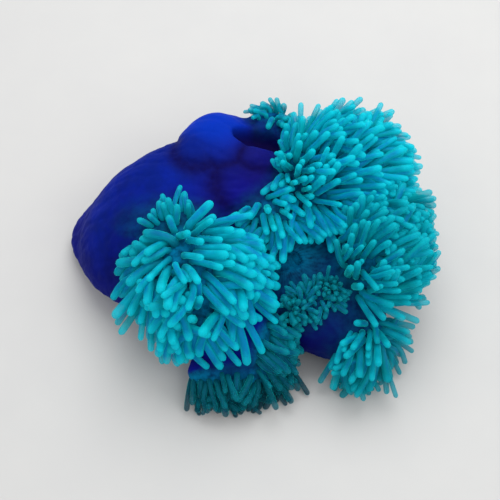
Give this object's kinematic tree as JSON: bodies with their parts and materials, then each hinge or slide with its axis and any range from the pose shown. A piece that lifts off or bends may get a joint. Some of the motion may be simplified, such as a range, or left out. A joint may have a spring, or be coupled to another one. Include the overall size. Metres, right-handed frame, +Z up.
{
  "type": "sea anemone model",
  "caption": "Still, life-size sea anemone at rest on its foot: a smooth purple column and a folded oral disc whose lobes are thick with blunt blue-green tentacles.",
  "frame": {"origin": "middle of the footprint, on the level that the animal rests on", "axes": "+X along its longest side, from the foot towards the tentacled lobes; -Y towards the front, where the lowest lobes lie; +Z up, along its shortest extent"},
  "size_m": [0.274, 0.2322, 0.1207],
  "materials": {
    "foot_skin": "wet, soft, deep blue-purple skin of the foot",
    "column_skin": "wet, smooth, deep purple body wall with faint lengthwise furrows",
    "disc_skin": "wet, smooth, dark teal oral disc with radial grooves",
    "tentacle_skin": "wet, translucent blue-green tentacles with paler rims and tips"
  },
  "bodies": {
    "root": {"pedal_disc": "foot_skin", "column": "column_skin", "column_bulge": "column_skin", "column_fold": "column_skin", "column_back": "column_skin", "column_front": "column_skin", "column_right": "column_skin", "column_inner": "column_skin", "oral_disc": "disc_skin", "lobe_inner": "tentacle_skin", "lobe_left": "tentacle_skin", "lobe_top": "tentacle_skin", "lobe_right": "tentacle_skin", "lobe_corner": "tentacle_skin", "lobe_front": "tentacle_skin"}
  },
  "joints": []
}
